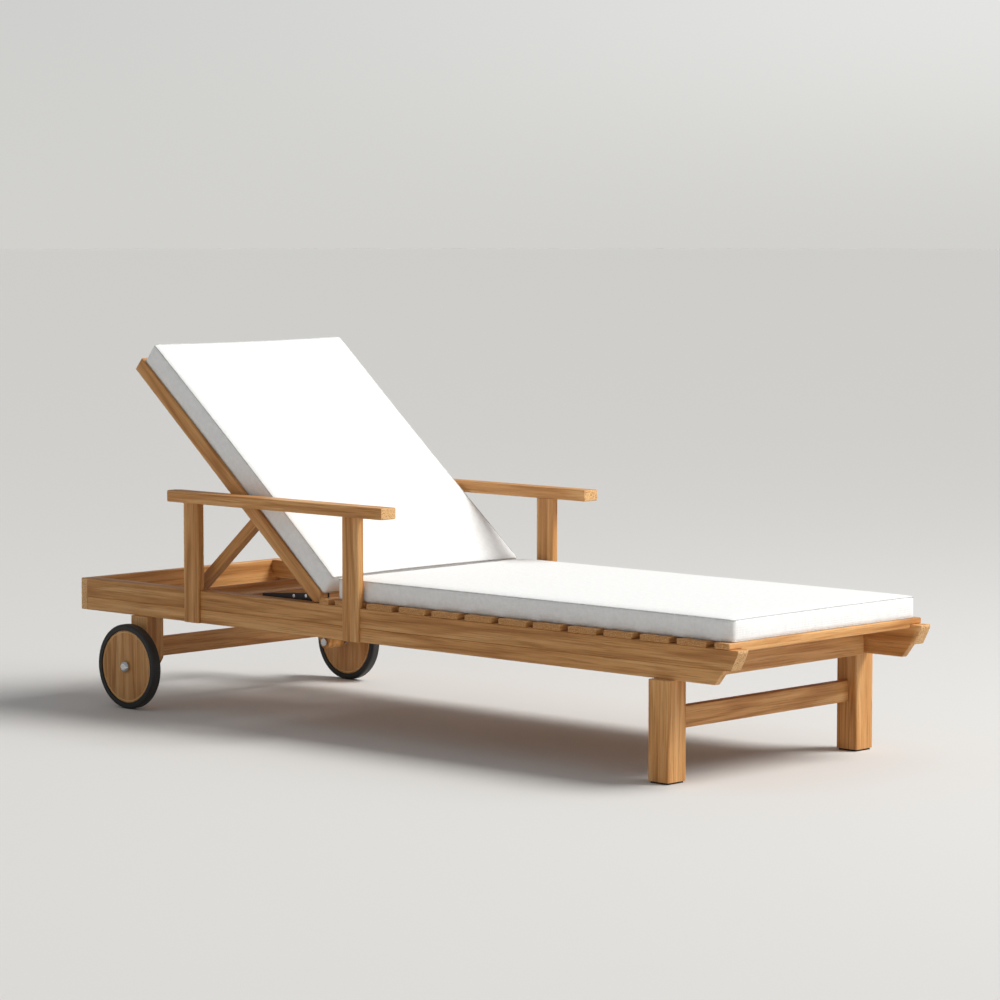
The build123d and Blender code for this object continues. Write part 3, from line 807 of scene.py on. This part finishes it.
@dataclass
class BackrestFrame:
    """Stiles, rails and slats of the backrest, with the prop that holds it."""

    nodes: dict[str, bpy.types.Object]
    stile_seed: float = 41.0
    strut_seed: float = 44.0
    crosswise_seed: float = 51.0
    stile_tone: float = 0.98
    crosswise: tuple[str, ...] = (
        "backrest_bottom_rail",
        "backrest_top_rail",
        "backrest_slats",
        "prop_foot_bar",
    )

    def dress(self) -> None:
        """Dress the boards along their own fibres."""
        for index, side in enumerate(SIDES):
            stile, strut = f"backrest_stile_{side}", f"prop_strut_{side}"
            leaning = Teak(stile, Grain.BACKREST, self.stile_seed + index, self.stile_tone)
            dress(self.nodes[stile], leaning.build())
            dress(self.nodes[strut], Teak(strut, Grain.STRUT, self.strut_seed + index).build())
        for index, name in enumerate(self.crosswise):
            teak = Teak(name, Grain.CROSSWISE, self.crosswise_seed + index)
            dress(self.nodes[name], teak.build())


@dataclass
class Wheels:
    """Wooden discs with rubber tyres on stub axles."""

    nodes: dict[str, bpy.types.Object]
    bright: bpy.types.Material
    band_inset_near: float = 3.4 * MM
    band_inset_far: float = 6.6 * MM
    disc_seed: float = 61.0
    disc_tone: float = 0.9

    def dress(self) -> None:
        """Dress discs, tyres and the axle's metal parts."""
        for index, side in enumerate(SIDES):
            low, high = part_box(f"tyre_{side}")
            middle = (low + high) / 2
            disc = f"wheel_disc_{side}"
            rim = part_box(disc)[1].x - middle.x
            # Radii of the pale band painted near the disc's rim.
            ring = (middle.x, middle.z, rim - self.band_inset_far, rim - self.band_inset_near)
            teak = Teak(disc, Grain.UPRIGHT, self.disc_seed + index, self.disc_tone, ring=ring)
            dress(self.nodes[disc], teak.build())
            rubber = Rubber(side, tuple(middle), (high.x - low.x) / 2)
            dress(self.nodes[f"tyre_{side}"], rubber.build())
            for name in ("hub_cap", "wheel_bush", "axle_spacer", "stub_axle"):
                dress(self.nodes[f"{name}_{side}"], self.bright)


@dataclass
class Hardware:
    """Hinge plates, pins, bolts, screws and the pads under the legs."""

    nodes: dict[str, bpy.types.Object]
    bright: bpy.types.Material
    black: bpy.types.Material

    def dress(self) -> None:
        """Dress the metal and plastic parts."""
        for side in SIDES:
            for name in ("hinge_plate", "hinge_pin", "prop_pin"):
                dress(self.nodes[f"{name}_{side}"], self.black)
            dress(self.nodes[f"prop_washer_{side}"], self.bright)
        dress(self.nodes["post_bolts"], self.black)
        dress(self.nodes["slat_screws"], self.bright)
        dress(self.nodes["plate_rivets"], self.bright)
        # Moulded nylon: dark and dull, with a faint grain.
        pad = FittingFinish("moulded_nylon", "#1c1a19", 0.55, 0.75, metallic=0.0, pattern=260.0)
        dress(self.nodes["leg_glides"], pad.build())


# ---------------------------------------------------------------------------
# Cushions
# ---------------------------------------------------------------------------
@dataclass
class BoxCushion:
    """A foam cushion in a boxed canvas cover: crowned faces, sewn edges, sides that pull in."""

    name: str
    node: str
    body: str
    low: Vector
    high: Vector
    canvas: bpy.types.Material
    thread: bpy.types.Material
    fill: float = 0.85
    cell: float = 12 * MM
    side_cuts: int = 4
    corner_radius: float = 9 * MM
    pressure: float = 4.0
    swell: float = 5 * MM
    pull_in: float = 3 * MM
    sim_frames: int = 20
    seam_radius: float = 1.4 * MM
    rim_hold: float = 0.85
    stiffness: float = 20
    cloth_quality: int = 5
    turn: Matrix = field(default_factory=lambda: Matrix.Identity(4))

    def build(self) -> list[bpy.types.Object]:
        """Model the cushion and its seams, place them and dress them.

        Returns:
            The cushion followed by its two seams.
        """
        cushion = self._block()
        self._inflate(cushion)
        self._pull_sides(cushion)
        self._smooth(cushion)
        seams = [self._seam(cushion, label) for label in ("top", "under")]
        for piece in (cushion, *seams):
            piece.data.transform(self.turn)
            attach(piece, self.body)
        dress(cushion, self.canvas)
        for seam in seams:
            dress(seam, self.thread)
        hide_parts(self.node)
        return [cushion, *seams]

    def _block(self) -> bpy.types.Object:
        """Model the foam block: a grid drawn up to its thickness, with rounded upright corners."""
        middle = (self.low + self.high) / 2
        size = self.high - self.low
        bpy.ops.object.select_all(action="DESELECT")
        bpy.ops.mesh.primitive_grid_add(
            x_subdivisions=round(size.x / self.cell),
            y_subdivisions=round(size.y / self.cell),
            size=1,
            location=(middle.x, middle.y, self.low.z),
        )
        block = bpy.context.object
        block.name = self.name
        block.data.name = self.name
        block.scale = (size.x, size.y, 1.0)
        bpy.ops.object.transform_apply(location=True, rotation=True, scale=True)
        bpy.ops.object.mode_set(mode="EDIT")
        bpy.ops.mesh.select_all(action="SELECT")
        bpy.ops.mesh.extrude_region_move(TRANSFORM_OT_translate={"value": (0, 0, size.z)})
        self._select_upright_edges(block, corners_only=True)
        bpy.ops.mesh.bevel(offset=self.corner_radius, segments=3, affect="EDGES")
        self._select_upright_edges(block, corners_only=False)
        bpy.ops.mesh.subdivide(number_cuts=self.side_cuts)
        bpy.ops.mesh.select_all(action="SELECT")
        bpy.ops.mesh.normals_make_consistent(inside=False)
        bpy.ops.object.mode_set(mode="OBJECT")
        for label, height in (("top", self.high.z), ("under", self.low.z)):
            group = block.vertex_groups.new(name=label)
            group.add(self._rim(block, height), 1.0, "REPLACE")
        held = block.vertex_groups.new(name="held")
        held.add(self._rim(block, self.high.z), self.rim_hold, "REPLACE")
        floor_level = self.low.z + LEVEL
        under = [vertex.index for vertex in block.data.vertices if vertex.co.z < floor_level]
        held.add(under, 1.0, "REPLACE")
        return block

    def _select_upright_edges(self, block: bpy.types.Object, corners_only: bool) -> None:
        """Select the edges that run up the sides.

        Args:
            block: The block, in edit mode.
            corners_only: True for the four corners alone.
        """
        bpy.ops.mesh.select_mode(type="EDGE")
        bpy.ops.mesh.select_all(action="DESELECT")
        bpy.ops.object.mode_set(mode="OBJECT")
        for edge in block.data.edges:
            start, end = (block.data.vertices[index].co for index in edge.vertices)
            upright = abs(start.z - end.z) > (self.high.z - self.low.z) / 2
            corner = min(abs(start.x - self.low.x), abs(start.x - self.high.x)) < LEVEL and (
                min(abs(start.y - self.low.y), abs(start.y - self.high.y)) < LEVEL
            )
            edge.select = upright and (corner or not corners_only)
        bpy.ops.object.mode_set(mode="EDIT")

    def _rim(self, block: bpy.types.Object, height: float) -> list[int]:
        """Find the points along the edge of the top or underside.

        Args:
            block: The block in object mode.
            height: Height of that face.

        Returns:
            Indices of the points.
        """
        mesh = block.data
        level = {vertex.index for vertex in mesh.vertices if abs(vertex.co.z - height) < LEVEL}
        side_points = set()
        for polygon in mesh.polygons:
            if abs(polygon.normal.z) < 0.5:
                side_points.update(polygon.vertices)
        return sorted(level & side_points)

    def _inflate(self, cushion: bpy.types.Object) -> None:
        """Blow the cover up from inside, then hold each point near where it began."""
        scene = bpy.context.scene
        before = [vertex.co.copy() for vertex in cushion.data.vertices]
        cloth = cushion.modifiers.new("Cloth", "CLOTH")
        settings = cloth.settings
        settings.quality = self.cloth_quality
        settings.use_pressure = True
        settings.uniform_pressure_force = self.pressure
        settings.tension_stiffness = self.stiffness
        settings.compression_stiffness = self.stiffness
        settings.effector_weights.gravity = 0
        settings.vertex_group_mass = "held"
        cloth.collision_settings.use_collision = False
        cloth.point_cache.frame_start = 1
        cloth.point_cache.frame_end = self.sim_frames
        for frame_number in range(1, self.sim_frames + 1):
            scene.frame_set(frame_number)
        only(cushion)
        bpy.ops.object.modifier_apply(modifier=cloth.name)
        scene.frame_set(1)
        for vertex, start in zip(cushion.data.vertices, before):
            move = vertex.co - start
            if move.length > self.swell:
                move *= self.swell / move.length
            vertex.co = start + move
            vertex.co.z = max(vertex.co.z, self.low.z)

    def _pull_sides(self, cushion: bpy.types.Object) -> None:
        """Draw each side in towards its middle, so that the corners stand out."""
        middle = (self.low + self.high) / 2
        half = (self.high - self.low) / 2
        for vertex in cushion.data.vertices:
            along = (vertex.co.x - middle.x) / half.x
            across = (vertex.co.y - middle.y) / half.y
            vertex.co.y -= self.pull_in * across * max(0.0, 1.0 - along * along)
            vertex.co.x -= self.pull_in * along * max(0.0, 1.0 - across * across)

    def _smooth(self, cushion: bpy.types.Object) -> None:
        """Add one level of subdivision and shade the cover smooth."""
        only(cushion)
        divide = cushion.modifiers.new("Subdivision", "SUBSURF")
        divide.levels = 1
        divide.render_levels = 1
        bpy.ops.object.modifier_apply(modifier=divide.name)
        bpy.ops.object.shade_smooth()

    def _seam(self, cushion: bpy.types.Object, label: str) -> bpy.types.Object:
        """Sew a thin corded seam along the edge of the top or underside.

        Args:
            cushion: The finished cushion, still lying flat.
            label: Which edge it is on, the name of its group of points.

        Returns:
            The seam.
        """
        only(cushion)
        group = cushion.vertex_groups[label].index
        mesh = cushion.data
        on_edge = set()
        for vertex in mesh.vertices:
            if any(entry.group == group and entry.weight > 0.9 for entry in vertex.groups):
                on_edge.add(vertex.index)
        bpy.ops.object.mode_set(mode="EDIT")
        bpy.ops.mesh.select_mode(type="EDGE")
        bpy.ops.mesh.select_all(action="DESELECT")
        bpy.ops.object.mode_set(mode="OBJECT")
        for edge in mesh.edges:
            edge.select = all(index in on_edge for index in edge.vertices)
        bpy.ops.object.mode_set(mode="EDIT")
        bpy.ops.mesh.duplicate()
        bpy.ops.mesh.separate(type="SELECTED")
        bpy.ops.object.mode_set(mode="OBJECT")
        line = next(obj for obj in bpy.context.selected_objects if obj is not cushion)
        line.name = f"{self.name}_seam_{label}"
        line.data.name = line.name
        line.vertex_groups.clear()
        line.data.materials.clear()
        only(line)
        bpy.ops.object.convert(target="CURVE")
        line = bpy.context.object
        line.data.bevel_depth = self.seam_radius
        line.data.bevel_resolution = 1
        bpy.ops.object.convert(target="MESH")
        bpy.ops.object.shade_smooth()
        return bpy.context.object


@dataclass
class Cushions:
    """The seat cushion and the back cushion."""

    joints: list[dict]
    thread: bpy.types.Material
    back_thickness: float = 52 * MM
    back_width: float = 608 * MM
    back_start: float = -14 * MM
    back_end: float = 775 * MM
    stile_half_depth: float = 17 * MM
    fold_gap: float = 3 * MM    # keeps the seams apart when the backrest is upright

    def build(self) -> list[bpy.types.Object]:
        """Make both cushions.

        Returns:
            Every piece of them.
        """
        hinge = next(joint for joint in self.joints if joint["name"] == "backrest_recline")
        lean = math.radians(-hinge["range_deg"][0])
        pivot = Vector(hinge["pos_m"])
        return self._seat() + self._back(pivot, lean)

    def _seat(self) -> list[bpy.types.Object]:
        """Make the cushion on the seat slats."""
        low, high = (Vector(corner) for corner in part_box("seat_cushion"))
        low.x += self.fold_gap
        canvas = Canvas("seat").build()
        pad = BoxCushion("seat_pad", "seat_cushion", "frame", low, high, canvas, self.thread)
        return pad.build()

    def _back(self, pivot: Vector, lean: float) -> list[bpy.types.Object]:
        """Make the cushion on the backrest, flat, and lean it about the hinge.

        Args:
            pivot: A point on the hinge line.
            lean: Angle of the backrest above the horizontal.

        Returns:
            The cushion and its seams.
        """
        half = self.back_width / 2
        bottom = pivot.z + self.stile_half_depth
        low = Vector((pivot.x - self.back_end, -half, bottom))
        high = Vector((pivot.x - self.back_start, half, bottom + self.back_thickness))
        turn = (
            Matrix.Translation(pivot)
            @ Matrix.Rotation(lean, 4, "Y")
            @ Matrix.Translation(-pivot)
        )
        canvas = Canvas("back", lean=lean).build()
        pad = BoxCushion(
            "back_pad", "back_cushion", "backrest", low, high, canvas, self.thread, turn=turn
        )
        return pad.build()


# ---------------------------------------------------------------------------
# Studio
# ---------------------------------------------------------------------------
@dataclass
class Studio:
    """Pale studio with soft light from the foot end's far side and a long lens."""

    camera_place: Vector = field(default_factory=lambda: Vector((5.841, -6.101, 1.241)))
    camera_turn: float = 43.48
    camera_tilt: float = 4.89
    lens: float = 134.45
    sensor_width: float = 36.0
    clip: tuple[float, float] = (0.1, 200.0)
    floor_radius: float = 60.0
    floor_thickness: float = 0.05
    floor_corners: int = 96
    floor_colour: str = "#d6d5d3"
    key_direction: Vector = field(default_factory=lambda: Vector((0.59, 0.56, 1.0)))
    key_strength: float = 2.42
    key_angle: float = 26.0
    key_colour: str = "#fffdf9"
    side_energy: float = 105.0
    side_size: tuple[float, float] = (3.0, 2.0)
    side_place: tuple[float, float, float] = (3.6, 2.6, 3.6)
    side_target: tuple[float, float, float] = (0.3, 0.0, 0.3)
    ambient: float = 0.38
    wall_level: str = "#d2d1cd"
    wall_dim: str = "#cfcfcd"
    wall_bright: str = "#e5e5e3"
    wall_blend: float = 0.16
    horizon: tuple[float, float] = (-0.021, 0.05)
    glow_colour: str = "#f6f8fa"

    def build(self) -> None:
        """Make the floor, the lights, the sky and the camera."""
        self._floor()
        self._key()
        self._side_light()
        self._sky()
        self._camera()

    def _floor(self) -> None:
        """Wide round floor with a thin rim."""
        bpy.ops.object.select_all(action="DESELECT")
        bpy.ops.mesh.primitive_circle_add(
            vertices=self.floor_corners, radius=self.floor_radius, fill_type="NGON"
        )
        floor = bpy.context.object
        floor.name = "studio_floor"
        bpy.ops.object.mode_set(mode="EDIT")
        bpy.ops.mesh.select_all(action="SELECT")
        bpy.ops.mesh.extrude_region_move(
            TRANSFORM_OT_translate={"value": (0, 0, -self.floor_thickness)}
        )
        bpy.ops.mesh.select_all(action="SELECT")
        bpy.ops.mesh.normals_make_consistent(inside=False)
        bpy.ops.object.mode_set(mode="OBJECT")
        material = new_material("studio_paint")
        shader = add_node(
            material,
            "ShaderNodeBsdfPrincipled",
            inputs={"Base Color": linear_colour(self.floor_colour), "Roughness": 0.8,
                    "Specular IOR Level": 0.25},
        )
        dress(floor, close_material(material, shader))

    def _key(self) -> None:
        """Broad soft light from above the foot end's far corner."""
        data = bpy.data.lights.new("key", "SUN")
        data.energy = self.key_strength
        data.angle = math.radians(self.key_angle)
        data.color = linear_colour(self.key_colour)[:3]
        lamp = bpy.data.objects.new("key", data)
        bpy.context.scene.collection.objects.link(lamp)
        lamp.rotation_euler = self.key_direction.to_track_quat("Z", "Y").to_euler()

    def _side_light(self) -> None:
        """Large panel on the same side that brightens the floor there."""
        data = bpy.data.lights.new("side", "AREA")
        data.shape = "RECTANGLE"
        data.size, data.size_y = self.side_size
        data.energy = self.side_energy
        lamp = bpy.data.objects.new("side", data)
        bpy.context.scene.collection.objects.link(lamp)
        lamp.location = self.side_place
        aim = Vector(self.side_target) - lamp.location
        lamp.rotation_euler = aim.to_track_quat("-Z", "Y").to_euler()
        lamp.visible_camera = False

    def _sky(self) -> None:
        """Pale wall all round, painted brighter on the key light's side, dimmer as a light than it looks.
        """
        world = bpy.data.worlds.new("studio_light")
        world.use_nodes = True
        world.node_tree.nodes.clear()
        place = add_node(world, "ShaderNodeTexCoord")
        key_side = Vector((self.key_direction.x, self.key_direction.y, 0)).normalized()
        toward_key = add_node(
            world,
            "ShaderNodeVectorMath",
            {"operation": "DOT_PRODUCT"},
            {0: place.outputs["Generated"], 1: key_side},
        )
        spread = add_node(
            world,
            "ShaderNodeMapRange",
            {"interpolation_type": "SMOOTHSTEP"},
            {"Value": toward_key.outputs["Value"], "From Min": -self.wall_blend,
             "From Max": self.wall_blend},
        )
        # Painted light: the wall seen by the camera is painted brighter towards the key light.
        wall_colour = add_ramp(
            world, spread.outputs["Result"], ((0.0, self.wall_dim), (1.0, self.wall_bright))
        )
        height = add_node(
            world, "ShaderNodeSeparateXYZ", inputs={"Vector": place.outputs["Generated"]}
        )
        rise = add_node(
            world,
            "ShaderNodeMapRange",
            {"interpolation_type": "SMOOTHSTEP"},
            {"Value": height.outputs["Z"], "From Min": self.horizon[0],
             "From Max": self.horizon[1]},
        )
        blended = add_node(
            world,
            "ShaderNodeMix",
            {"data_type": "RGBA"},
            {"Factor": rise.outputs["Result"], "A": linear_colour(self.wall_level),
             "B": wall_colour},
        )
        wall = add_node(world, "ShaderNodeBackground", inputs={"Color": blended.outputs["Result"]})
        glow = add_node(
            world,
            "ShaderNodeBackground",
            inputs={"Color": linear_colour(self.glow_colour), "Strength": self.ambient},
        )
        seen = add_node(world, "ShaderNodeLightPath")
        both = add_node(
            world,
            "ShaderNodeMixShader",
            inputs={0: seen.outputs["Is Camera Ray"], 1: glow.outputs["Background"],
                    2: wall.outputs["Background"]},
        )
        add_node(world, "ShaderNodeOutputWorld", inputs={"Surface": both.outputs["Shader"]})
        bpy.context.scene.world = world
        bpy.context.scene.view_settings.view_transform = "Standard"

    def _camera(self) -> None:
        """Long lens from the foot end's near corner, a little above the cushions."""
        data = bpy.data.cameras.new("studio_camera")
        data.lens = self.lens
        data.sensor_width = self.sensor_width
        data.clip_start, data.clip_end = self.clip
        camera = bpy.data.objects.new("studio_camera", data)
        bpy.context.scene.collection.objects.link(camera)
        camera.location = self.camera_place
        camera.rotation_euler = (
            math.radians(90.0 - self.camera_tilt),
            0.0,
            math.radians(self.camera_turn),
        )
        bpy.context.scene.camera = camera


def main() -> None:
    """Build the lounger's looks on its CAD frame and log each assembly dressed and each cushion piece made.
    """
    logging.basicConfig(level=logging.INFO, format="%(name)s: %(message)s")
    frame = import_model()
    nodes = frame["nodes"]
    # Stainless steel, turned and polished: bright, with soft turning marks.
    bright = FittingFinish("turned_stainless_steel", "#c9cacb", 0.16, 0.34).build()
    # Mild steel under black powder coat: dull black with a faint orange peel.
    coat = FittingFinish("black_powder_coat", "#141415", 0.3, 0.5, metallic=0.0, pattern=300.0)
    black = coat.build()
    for assembly in (
        WoodenFrame(nodes),
        Armrests(nodes),
        BackrestFrame(nodes),
        Wheels(nodes, bright),
        Hardware(nodes, bright, black),
    ):
        assembly.dress()
        LOG.info("dressed %s", type(assembly).__name__)
    # The same canvas folded over a cord: a little greyer, because its threads lie in shade.
    thread = Canvas("seam", light="#d6d6d4", shade="#b9b9b7").build()
    for piece in Cushions(frame["joints"], thread).build():
        LOG.info("made %s with %d faces", piece.name, len(piece.data.polygons))
    Studio().build()


if __name__ == "__main__":
    main()
